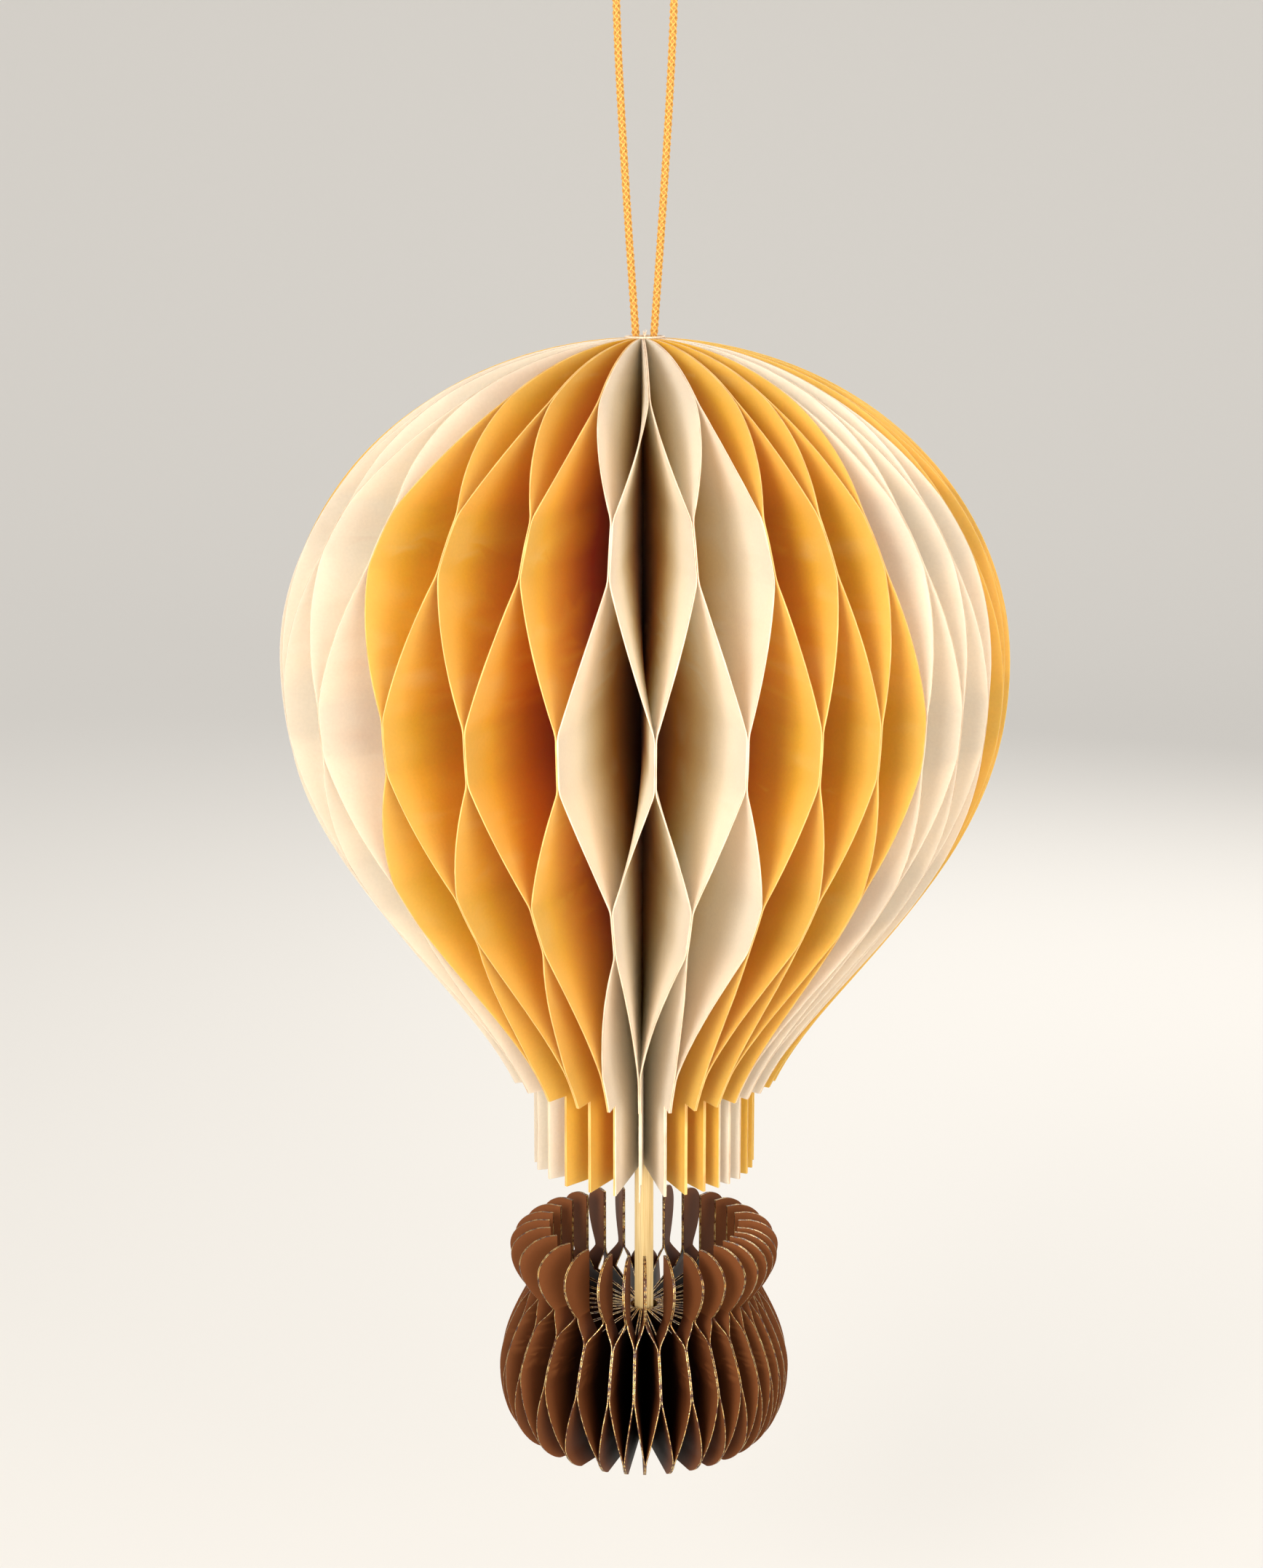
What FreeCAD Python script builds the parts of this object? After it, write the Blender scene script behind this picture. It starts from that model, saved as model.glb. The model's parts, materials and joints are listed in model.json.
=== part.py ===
"""Hanging ornament: a hot-air balloon cut from honeycomb paper, on a wooden stick with a gold cord.

Sixty cream and gold leaves stand like the pages of an open book around a hollow spine and make
the envelope, and sixty brown leaves make the basket below it. Neighbouring leaves are glued in
strips, by turns with the leaf on one side and with the leaf on the other, so each leaf waves
from strip to strip and the cells between them are lens shaped.

Units are millimetres, +Z up. The ornament hangs, so the origin is the inside of the cord loop's
top, where a hook carries it, and the view from the front is along +Y. Depths are counted down
from the pole of the envelope, and azimuths from the front, -Y, towards +X.
"""

import FreeCAD, Part
import math
import os
from collections import namedtuple

V = FreeCAD.Vector

# Paper and binding
SHEET = 0.20                 # thickness of a paper leaf
GLUE_FILM = 0.01             # glue between two bound leaves
LEAVES = 60                  # leaves in the envelope, and as many in the basket
LEAVES_A_NODE = 5            # leaves of one colour that follow each other
GLUE_STRIP = 5.6             # height of a glued strip
BEND = 1.5                   # a leaf bends over this height where it leaves a strip
SPINE_RADIUS = LEAVES * (SHEET + GLUE_FILM) / (2 * math.pi)

# Envelope outline, as depth below the pole and distance from the axis
ENVELOPE_RADIUS = 50.0
CROWN_DEPTH = 44.0           # depth of the widest place
NOTCH_RADIUS = 18.9          # outer corner above the skirt
NOTCH_DEPTH = 103.3
NOTCH_RISE = 0.6             # the cut above the skirt climbs this much towards the spine
TAPER = (0.90, 1.33)         # how full the outline stays below the widest place
SKIRT_RADIUS = 15.7
SKIRT_HEIGHT = 13.1
SKIRT_DEPTH = NOTCH_DEPTH + SKIRT_HEIGHT
TOP_LAND = 1.2               # flat top of a leaf beside the spine
SEAM_LOW = 0.8               # the last leaf slipped down by this much at the skirt
SEAM_HIGH = 1.8              # the first leaf ends this much higher

# Glued strips of the envelope
TOP_STRIP = 6.0              # leaves stay in pairs from the pole down to here
NEXT_ROW = 23.5              # first row that glues a pair to the next pair
FOOT_STRIP = 5.3             # pairs are joined again over this height above the notch
LAST_STRIP = NOTCH_DEPTH - FOOT_STRIP
ROW_PITCH = LAST_STRIP / 2   # from each row to its like

# Basket outline
BASKET_GAP = 9.3             # from the skirt down to the top of the rim lobes
RIM_DEPTH = SKIRT_DEPTH + BASKET_GAP
LOBE_RADIUS = 19.3
LOBE_DEPTH = RIM_DEPTH + 3.6  # where the lobes are widest
WELL_RADIUS = 13.6           # inner edge of the lobes
RIM_FLAT = 0.8               # flat top of a lobe beside the well
NECK_INSET = 2.8             # the neck lies this much inside the lobes
NECK_RADIUS = LOBE_RADIUS - NECK_INSET
NECK_DEPTH = LOBE_DEPTH + 5.7
NECK_SLOPE = -0.85           # how fast the lobe runs in at the neck
FLOOR_DEPTH = NECK_DEPTH + 3.3  # floor of the well at the spine
FLOOR_RISE = 0.7             # the floor climbs this much out to the lobes
BARREL_RADIUS = 20.9
BARREL_DEPTH = NECK_DEPTH + 12.5  # where the barrel is widest
BOTTOM_ROUND = (6.4, 10.2)   # width and height of the round lower corner
BOTTOM_RADIUS = BARREL_RADIUS - BOTTOM_ROUND[0]
BOTTOM_DEPTH = BARREL_DEPTH + BOTTOM_ROUND[1]
LAND_TURN = 10.0             # the round rim and bottom end in a flat this many degrees early
LOBE_TURNS = (LAND_TURN, 35.0, 60.0, 90.0)  # lines that shape a lobe's round top, by their turn

# Glued strips of the basket
LOBE_JOIN = NECK_DEPTH - 0.7  # lobes are glued in pairs down to here
WAIST_ROW = NECK_DEPTH + 6.2  # the strips around the barrel
FOOT_JOIN = BOTTOM_DEPTH - 2.7  # pairs are glued again from here to the bottom

# Azimuths of the glued pairs as the fans stand open, from left to right across the front.
# The pairs of the back share what is left evenly.
ENVELOPE_FAN = (-75.0, -57.7, -41.3, -26.4, -12.3, 1.6, 14.7, 26.0, 36.1, 45.2, 54.4, 63.5, 72.0, 81.0)
ENVELOPE_FEET = (-75.0, -59.0, -44.3, -28.6, -14.6, -1.5, 11.2, 22.0, 32.3, 41.4, 48.5, 57.5, 66.5, 76.0)
ENVELOPE_SLOT = -7.3         # azimuth at the spine of the pair in front
ENVELOPE_FIRST = 5           # place of that pair in the fan
BASKET_FAN = (-80.0, -66.0, -50.0, -34.3, -18.2, -7.6, 1.0, 13.0, 25.5, 36.0, 47.3, 55.7, 63.5, 70.5, 77.5)
BASKET_SLOT = -5.6
BASKET_FIRST = 6

# Where a leaf stands at a stop: with its own pair, with the next pair, or with its own pair's foot
OWN = 0
NEXT = 1
FOOT = 2

# Stick
STICK_SIDE = 2.0
STICK_TURN = 34.0            # turn of its faces about the axis
STICK_TOP = 7.0              # depth of its upper end, inside the envelope's spine
STICK_END = BOTTOM_DEPTH - 5.7  # depth of its lower end, inside the basket's spine

# Cord
CORD_DIAMETER = 1.15
STRAND_AT_POLE = 1.2         # distance of each strand from the axis where it leaves the pole
STRAND_SPREAD = 4.45         # the same distance higher up
SPREAD_HEIGHT = 44.0         # height above the pole where that is measured
LOOP_HEIGHT = 52.9           # inside of the loop's top above the pole
HOOK_CORNERS = 4             # corners of the route round the hook
ROUND_SHARE = 0.45           # share of a straight run that the arc at each end takes
BIND_WIRE = 0.3              # thickness of the thread bound round the top of the spine

POLE_Z = -LOOP_HEIGHT


# A straight line across a leaf, from the spine to the outline. Where a radius is given for
# an end, the paper starts or stops there instead.
Line = namedtuple("Line", "spine_depth radius depth start_radius end_radius", defaults=(None, None))


def ray(azimuth):
    """Unit vector that points away from the axis at an azimuth in degrees."""
    a = math.radians(azimuth)
    return V(math.sin(a), -math.cos(a), 0)


def across(azimuth):
    """Unit vector square to ray(azimuth), towards growing azimuths."""
    a = math.radians(azimuth)
    return V(math.cos(a), math.sin(a), 0)


def ease(t, bend):
    """Step from 0 to 1: level at both ends, straight but for the share `bend` at each end."""
    t = min(1.0, max(0.0, t))
    slope = 1 / (1 - bend)
    if t < bend:
        return slope * t**2 / (2 * bend)
    if t > 1 - bend:
        return 1 - slope * (1 - t) ** 2 / (2 * bend)
    return slope * (t - bend / 2)


def bend_share(height):
    """Share of a stretch between two strips that is bent at each of its ends."""
    return min(0.5, BEND / height)


class Wave:
    """Stops down a leaf, each a depth and where the leaf stands there."""

    def __init__(self, stops):
        self.stops = stops

    def azimuth(self, depth, stands):
        """Azimuth at a depth of a leaf that has these azimuths where it stands."""
        for (d0, s0), (d1, s1) in zip(self.stops, self.stops[1:]):
            if depth <= d1:
                share = ease((depth - d0) / (d1 - d0), bend_share(d1 - d0))
                return stands[s0] + (stands[s1] - stands[s0]) * share
        return stands[self.stops[-1][1]]

    def is_plain(self, depth):
        """Whether the leaf keeps where it stands at a depth between two stops."""
        return any(d0 < depth < d1 and s0 == s1 for (d0, s0), (d1, s1) in zip(self.stops, self.stops[1:]))

    def cuts(self, low, high):
        """Depths from low to high at which the paper's bends begin, end and are halfway."""
        ends = [low] + [d for d, _ in self.stops if low < d < high] + [high]
        depths = [low]
        for d0, d1 in zip(ends, ends[1:]):
            bend = bend_share(d1 - d0)
            shares = (bend, 0.5, 1 - bend, 1) if bend < 0.5 else (0.5, 1)
            if self.is_plain((d0 + d1) / 2):
                shares = (0.5, 1)
            depths += [d0 + (d1 - d0) * share for share in shares]
        return depths


class Leaf:
    """A leaf's slot at the spine, and its azimuths where it stands with its own pair, with the
    next pair and with its own pair's foot."""

    def __init__(self, slot, stands, wave):
        self.slot = ray(slot) * SPINE_RADIUS
        self.stands = stands
        self.wave = wave

    def azimuth(self, depth):
        return self.wave.azimuth(depth, self.stands)

    def reach(self, azimuth, radius):
        """Distance along the leaf from its slot to a radius about the axis."""
        along = self.slot.dot(ray(azimuth))
        return -along + math.sqrt(along**2 - SPINE_RADIUS**2 + radius**2)

    def corners(self, line):
        """Four corners of the paper on one straight line from its inner to its outer end."""
        azimuth = self.azimuth(line.depth)
        whole = self.reach(azimuth, line.radius)
        start = 0.0 if line.start_radius is None else self.reach(azimuth, line.start_radius)
        end = whole if line.end_radius is None else self.reach(azimuth, line.end_radius)
        points = []
        for run, sides in ((start, (-1, 1)), (end, (1, -1))):
            depth = line.spine_depth + (line.depth - line.spine_depth) * run / whole
            middle = self.slot + ray(azimuth) * run + V(0, 0, POLE_Z - depth)
            points += [middle + across(azimuth) * (side * SHEET / 2) for side in sides]
        return points

    def stretch(self, line_at, places):
        """Solid of the paper between the first and the last line. line_at(place) gives a line."""
        step = 1e-5
        lines = [self.corners(line_at(p)) for p in places]
        before = [self.corners(line_at(p - step)) for p in places]
        after = [self.corners(line_at(p + step)) for p in places]
        edges = []
        for corner in range(4):
            points = [line[corner] for line in lines]
            slopes = [(b[corner] - a[corner]) / (2 * step) for a, b in zip(before, after)]
            edges.append(smooth_edge(points, slopes, places))
        faces = [Part.makeRuledSurface(edges[i], edges[(i + 1) % 4]) for i in range(4)]
        for line in (lines[0], lines[-1]):
            faces.append(Part.Face(Part.makePolygon(line + line[:1])))
        shell = Part.makeShell(faces)
        shell.sewShape()
        solid = Part.makeSolid(Part.Shell(shell.Faces))
        if solid.Volume < 0:
            solid.reverse()
        return solid


def smooth_edge(points, slopes, places):
    """Cubic edge through points with the given slopes, smooth where its spans meet."""
    poles = [points[0]]
    for i in range(len(points) - 1):
        third = (places[i + 1] - places[i]) / 3
        poles += [points[i] + slopes[i] * third, points[i + 1] - slopes[i + 1] * third]
    poles.append(points[-1])
    mults = [4] + [2] * (len(points) - 2) + [4]
    curve = Part.BSplineCurve()
    curve.buildFromPolesMultsKnots(poles, mults, list(places), False, 3)
    return curve.toShape()


# Envelope

def envelope_radius(depth):
    """Outline of the envelope: a quarter ellipse, then a taper to the notch."""
    if depth < CROWN_DEPTH:
        return ENVELOPE_RADIUS * math.sqrt(1 - (1 - depth / CROWN_DEPTH) ** 2)
    t = (depth - CROWN_DEPTH) / (NOTCH_DEPTH - CROWN_DEPTH)
    fall = TAPER[0] * t**2 + TAPER[1] * t**3 + (1 - sum(TAPER)) * t**4
    return ENVELOPE_RADIUS - (ENVELOPE_RADIUS - NOTCH_RADIUS) * fall


def crown_place(depth):
    """Place along the outline that runs evenly round the crown, from 0 at the pole."""
    if depth < CROWN_DEPTH:
        return math.acos(1 - depth / CROWN_DEPTH)
    return math.pi / 2 + (depth - CROWN_DEPTH) / CROWN_DEPTH


def crown_depth(place):
    """Depth at a place along the outline."""
    if place < math.pi / 2:
        return CROWN_DEPTH * (1 - math.cos(place))
    return CROWN_DEPTH * (1 + place - math.pi / 2)


def envelope_line(place):
    """Line of a leaf from the spine to the outline. The last one slants, as the notch is cut."""
    depth = crown_depth(place)
    slant = NOTCH_RISE * max(0.0, (depth - LAST_STRIP) / (NOTCH_DEPTH - LAST_STRIP)) ** 2
    return Line(depth - slant, envelope_radius(depth), depth)


def skirt_line(end):
    """Lines of the skirt, from the notch's cut at place 0 to its lower edge, end, at place 1."""
    def line_at(place):
        inner = NOTCH_DEPTH - NOTCH_RISE
        outer_depth = NOTCH_DEPTH + (end - NOTCH_DEPTH) * place
        return Line(inner + (end - inner) * place, NOTCH_RADIUS, outer_depth, end_radius=SKIRT_RADIUS)
    return line_at


def envelope_wave():
    half = GLUE_STRIP / 2
    stops = [(0.0, OWN), (TOP_STRIP, OWN)]
    for row, stand in ((NEXT_ROW, NEXT), (ROW_PITCH, OWN), (NEXT_ROW + ROW_PITCH, NEXT)):
        stops += [(row - half, stand), (row + half, stand)]
    return Wave(stops + [(LAST_STRIP, FOOT), (SKIRT_DEPTH, FOOT)])


def land_depth():
    """Depth of the flat tops of the leaves beside the spine."""
    return CROWN_DEPTH * (1 - math.cos(math.asin((SPINE_RADIUS + TOP_LAND) / ENVELOPE_RADIUS)))


def envelope_leaf(leaf, seam_shift):
    """One envelope leaf: the waved part above the notch and the flat skirt below it."""
    places = [crown_place(d) for d in leaf.wave.cuts(land_depth(), NOTCH_DEPTH)]
    upper = leaf.stretch(envelope_line, places)
    skirt = leaf.stretch(skirt_line(SKIRT_DEPTH + seam_shift), [0.0, 1.0])
    return upper.fuse(skirt)


# Basket

def neck_curve(depth):
    """Outline of a lobe below its widest place, where it runs in to the neck."""
    height = NECK_DEPTH - LOBE_DEPTH
    t = (depth - LOBE_DEPTH) / height
    return LOBE_RADIUS - NECK_INSET * (3 * t**2 - 2 * t**3) + NECK_SLOPE * height * (t**3 - t**2)


def barrel_radius(depth):
    """Outline of the barrel, from the neck to its widest place and round the lower corner."""
    if depth < BARREL_DEPTH:
        t = (depth - NECK_DEPTH) / (BARREL_DEPTH - NECK_DEPTH)
        return NECK_RADIUS + (BARREL_RADIUS - NECK_RADIUS) * math.sin(t * math.pi / 2)
    fall = (depth - BARREL_DEPTH) / (BOTTOM_DEPTH - BARREL_DEPTH)
    return BOTTOM_RADIUS + (BARREL_RADIUS - BOTTOM_RADIUS) * math.sqrt(max(0.0, 1 - fall**2))


def lobe_line(place):
    """Line across a lobe. Places run evenly round its top: 0 at the rim, pi / 2 where it is widest."""
    height = LOBE_DEPTH - RIM_DEPTH
    flat = WELL_RADIUS + RIM_FLAT
    if place < math.pi / 2:
        depth = LOBE_DEPTH - height * math.cos(place)
        radius = flat + (LOBE_RADIUS - flat) * math.sin(place)
    else:
        depth = LOBE_DEPTH + height * (place - math.pi / 2)
        radius = neck_curve(depth)
    return Line(depth, radius, depth, start_radius=WELL_RADIUS)


def lobe_place(depth):
    height = LOBE_DEPTH - RIM_DEPTH
    if depth < LOBE_DEPTH:
        return math.acos((LOBE_DEPTH - depth) / height)
    return math.pi / 2 + (depth - LOBE_DEPTH) / height


def floor_slope():
    """How fast the well's floor climbs outwards."""
    return FLOOR_RISE / (WELL_RADIUS - SPINE_RADIUS)


def floor_reach():
    """Depth at which the line of the floor, carried on outwards, meets the barrel's outline."""
    depth = FLOOR_DEPTH
    for _ in range(20):
        depth = FLOOR_DEPTH - floor_slope() * (barrel_radius(depth) - SPINE_RADIUS)
    return depth


def stem_line(place):
    """Line across the narrow stem between a lobe and the barrel, place 0 at the neck, 1 at the floor."""
    outer = NECK_DEPTH + (floor_reach() - NECK_DEPTH) * place
    spine = NECK_DEPTH + (FLOOR_DEPTH - NECK_DEPTH) * place
    return Line(spine, barrel_radius(outer), outer, start_radius=WELL_RADIUS)


def barrel_line(place):
    """Line from the spine to the barrel's outline, place 0 where it is widest, pi / 2 at the bottom."""
    height = BOTTOM_DEPTH - BARREL_DEPTH
    start = floor_reach()
    if place < 0:
        depth = BARREL_DEPTH + height * place
        radius = barrel_radius(depth)
    else:
        depth = BARREL_DEPTH + height * math.sin(place)
        radius = BOTTOM_RADIUS + (BARREL_RADIUS - BOTTOM_RADIUS) * math.cos(place)
    inner = FLOOR_DEPTH + (BOTTOM_DEPTH - FLOOR_DEPTH) * (depth - start) / (BOTTOM_DEPTH - start)
    return Line(inner, radius, depth)


def barrel_place(depth):
    share = (depth - BARREL_DEPTH) / (BOTTOM_DEPTH - BARREL_DEPTH)
    return share if share < 0 else math.asin(min(1.0, share))


def basket_wave():
    half = GLUE_STRIP / 2
    return Wave([(RIM_DEPTH, OWN), (LOBE_JOIN, OWN), (WAIST_ROW - half, NEXT),
                 (WAIST_ROW + half, NEXT), (FOOT_JOIN, FOOT), (BOTTOM_DEPTH, FOOT)])


def basket_leaf(leaf, _seam_shift):
    """One basket leaf: its lobe at the rim, the narrow stem and the barrel with the well's floor."""
    lobe = leaf.stretch(lobe_line, [lobe_place(d) for d in lobe_depths()])
    stem = leaf.stretch(stem_line, [0.0, 0.5, 1.0])
    depths = leaf.wave.cuts(floor_reach(), barrel_line(math.pi / 2 - math.radians(LAND_TURN)).depth)
    barrel = leaf.stretch(barrel_line, [barrel_place(d) for d in depths])
    return barrel.fuse([stem, lobe])


def lobe_depths():
    """Depths of the lines that shape a lobe, closer together at its round top."""
    tops = [LOBE_DEPTH - (LOBE_DEPTH - RIM_DEPTH) * math.cos(math.radians(a)) for a in LOBE_TURNS]
    return tops + [(LOBE_DEPTH + LOBE_JOIN) / 2, LOBE_JOIN, NECK_DEPTH]


# Fans of leaves

def pair_azimuths(fan):
    """Azimuths of all glued pairs: those of the front, then the back spread evenly."""
    pairs = LEAVES // 2
    rest = pairs - len(fan)
    step = (360 + fan[0] - fan[-1]) / (rest + 1)
    return list(fan) + [fan[-1] + step * (i + 1) for i in range(rest)]


def pair_azimuth(pairs, number):
    """Azimuth of a pair by its number, which may run on past a full turn."""
    turns, place = divmod(number, len(pairs))
    return pairs[place] + 360 * turns


def build_fan(fan, feet, slot, first, wave, make_leaf, seam):
    """All leaves of a fan in order, starting with the right-hand leaf of the pair before `first`."""
    pairs = pair_azimuths(fan)
    low_pairs = pair_azimuths(feet)
    leaves = []
    for order in range(LEAVES):
        pair, side = divmod(order + 2 * first - 1, 2)
        own = pair_azimuth(pairs, pair)
        joined = (own + pair_azimuth(pairs, pair + (1 if side else -1))) / 2
        at_spine = slot + 360 / LEAVES * (order - 1.5)
        leaf = Leaf(at_spine, (own, joined, pair_azimuth(low_pairs, pair)), wave)
        leaves.append(make_leaf(leaf, seam.get(order, 0.0)))
    return leaves


def groups(leaves):
    return [leaves[i:i + LEAVES_A_NODE] for i in range(0, LEAVES, LEAVES_A_NODE)]


# Stick, cord and binding

def stick():
    half = STICK_SIDE / 2
    box = Part.makeBox(STICK_SIDE, STICK_SIDE, STICK_END - STICK_TOP, V(-half, -half, POLE_Z - STICK_END))
    box.rotate(V(0, 0, 0), V(0, 0, 1), STICK_TURN)
    return box


def strand_x(height):
    """Distance of a strand from the axis at a height above the pole."""
    return STRAND_AT_POLE + (STRAND_SPREAD - STRAND_AT_POLE) * height / SPREAD_HEIGHT


def cord_route():
    """Points of the cord: up one strand from the stick's end, round the hook and down the other."""
    lean = math.atan((STRAND_SPREAD - STRAND_AT_POLE) / SPREAD_HEIGHT)
    turn = (math.pi + 2 * lean) / HOOK_CORNERS
    middle = CORD_DIAMETER / 2        # height of the cord's middle line over the hook
    hook = strand_x(LOOP_HEIGHT - STRAND_SPREAD)
    points = []
    for i in range(HOOK_CORNERS):
        a = (i - (HOOK_CORNERS - 1) / 2) * turn
        out = hook / math.cos(turn / 2)
        points.append(V(out * math.sin(a), 0, middle - hook + out * math.cos(a)))
    low = middle * math.sin(lean) - STICK_TOP
    ends = [V(side * strand_x(low), 0, POLE_Z + low) for side in (-1, 1)]
    return [ends[0]] + points + [ends[1]]


def rounded_path(points):
    """Straight runs joined by tangent arcs, each as large as its two runs allow."""
    edges = []
    radii = []
    start = points[0]
    for a, b, c in zip(points, points[1:], points[2:]):
        back, ahead = (a - b), (c - b)
        half_turn = (math.pi - back.getAngle(ahead)) / 2
        trim = ROUND_SHARE * min(back.Length, ahead.Length)
        radii.append(trim / math.tan(half_turn))
        enter = b + back.normalize() * trim
        leave = b + ahead.normalize() * trim
        inward = (back + ahead).normalize()
        middle = b + inward * (radii[-1] / math.cos(half_turn) - radii[-1])
        edges += [Part.LineSegment(start, enter).toShape(), Part.Arc(enter, middle, leave).toShape()]
        start = leave
    edges.append(Part.LineSegment(start, points[-1]).toShape())
    return Part.Wire(edges), radii


def cord():
    route = cord_route()
    path, radii = rounded_path(route)
    disc = Part.Circle(route[0], route[1] - route[0], CORD_DIAMETER / 2)
    tube = path.makePipeShell([Part.Wire(disc.toShape())], True, False)
    section = math.pi * CORD_DIAMETER**2 / 4
    print("cord radii", [round(r, 2) for r in radii], "length", round(path.Length, 2),
          "volume over section x length", round(tube.Volume / (section * path.Length), 4))
    print("cord route", [tuple(round(c, 2) for c in p) for p in route])
    return tube


def binding():
    """Thread ring that lies on the leaves' tops round the end of the spine."""
    middle = V(0, 0, POLE_Z - land_depth() + BIND_WIRE / 2 + GLUE_FILM)
    return Part.makeTorus(SPINE_RADIUS + TOP_LAND / 2, BIND_WIRE / 2, middle)


def build():
    """All pieces by node name."""
    seam = {1: SEAM_LOW, 2: -SEAM_HIGH}
    envelope = build_fan(ENVELOPE_FAN, ENVELOPE_FEET, ENVELOPE_SLOT, ENVELOPE_FIRST,
                         envelope_wave(), envelope_leaf, seam)
    basket = build_fan(BASKET_FAN, BASKET_FAN, BASKET_SLOT, BASKET_FIRST,
                       basket_wave(), basket_leaf, {})
    nodes = {}
    for i, leaves in enumerate(groups(envelope)):
        colour = ("cream", "gold")[i % 2]
        nodes[f"{colour}_gore_{i // 2 + 1}"] = Part.makeCompound(leaves)
    for i, leaves in enumerate(groups(basket)):
        nodes[f"basket_leaves_{i + 1}"] = Part.makeCompound(leaves)
    nodes["centre_stick"] = stick()
    nodes["hanging_cord"] = cord()
    nodes["spine_binding"] = binding()
    return nodes


os.makedirs("parts", exist_ok=True)
for name, shape in build().items():
    shape.exportStep(f"parts/{name}.step")
    valid = all(solid.isValid() for solid in shape.Solids)
    print(name, "solids", len(shape.Solids), "valid", valid, "volume", round(shape.Volume, 1))
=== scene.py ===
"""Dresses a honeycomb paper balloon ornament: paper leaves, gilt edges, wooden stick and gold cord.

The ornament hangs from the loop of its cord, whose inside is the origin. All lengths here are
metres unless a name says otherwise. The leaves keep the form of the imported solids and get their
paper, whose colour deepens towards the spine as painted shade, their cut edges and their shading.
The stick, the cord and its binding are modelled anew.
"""

import json
import logging
import math
from dataclasses import dataclass, field
from enum import Enum

import bmesh
import bpy
import numpy as np
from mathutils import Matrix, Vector
from mathutils.kdtree import KDTree

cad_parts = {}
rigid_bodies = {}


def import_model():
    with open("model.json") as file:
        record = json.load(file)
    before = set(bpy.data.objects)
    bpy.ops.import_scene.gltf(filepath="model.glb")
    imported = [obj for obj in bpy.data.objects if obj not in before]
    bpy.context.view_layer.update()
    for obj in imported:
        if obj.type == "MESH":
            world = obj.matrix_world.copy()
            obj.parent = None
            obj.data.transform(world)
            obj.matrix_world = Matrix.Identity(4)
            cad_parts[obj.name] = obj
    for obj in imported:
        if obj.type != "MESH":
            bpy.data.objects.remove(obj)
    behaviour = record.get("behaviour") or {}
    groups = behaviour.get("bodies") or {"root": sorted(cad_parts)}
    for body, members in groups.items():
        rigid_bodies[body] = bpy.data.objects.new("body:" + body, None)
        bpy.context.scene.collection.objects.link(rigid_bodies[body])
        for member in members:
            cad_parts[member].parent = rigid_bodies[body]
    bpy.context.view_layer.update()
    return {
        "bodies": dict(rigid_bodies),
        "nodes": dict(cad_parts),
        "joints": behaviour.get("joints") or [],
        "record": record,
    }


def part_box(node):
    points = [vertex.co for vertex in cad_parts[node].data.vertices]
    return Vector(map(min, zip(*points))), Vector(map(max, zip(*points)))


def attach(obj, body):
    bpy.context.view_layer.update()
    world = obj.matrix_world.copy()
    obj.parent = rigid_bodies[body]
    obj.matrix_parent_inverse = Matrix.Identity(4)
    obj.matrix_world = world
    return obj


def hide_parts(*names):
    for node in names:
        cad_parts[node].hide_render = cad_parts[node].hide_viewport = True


Colour = tuple[float, float, float]
MM = 0.001
LOG = logging.getLogger("paper_balloon")

# Heights on the axis: the envelope's pole, which the loop stands above, and the basket's neck
LOOP_HEIGHT = 52.9 * MM
POLE = -LOOP_HEIGHT
NECK = POLE - 135.0 * MM

# Most values of a noise lie between these
NOISE_SPREAD = (0.3, 0.7)


class Paper(Enum):
    """The three papers that the leaves are cut from, by their material slot."""

    CREAM = "cream_paper"
    GOLD = "gold_paper"
    BROWN = "brown_paper"


def paint(red: int, green: int, blue: int) -> Colour:
    """A display colour as linear light.

    Args:
        red: red from 0 to 255.
        green: green from 0 to 255.
        blue: blue from 0 to 255.

    Returns:
        The three linear values from 0 to 1.
    """
    def linear(value: int) -> float:
        """One channel as linear light."""
        share = value / 255
        return share / 12.92 if share <= 0.04045 else ((share + 0.055) / 1.055) ** 2.4

    return linear(red), linear(green), linear(blue)


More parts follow.
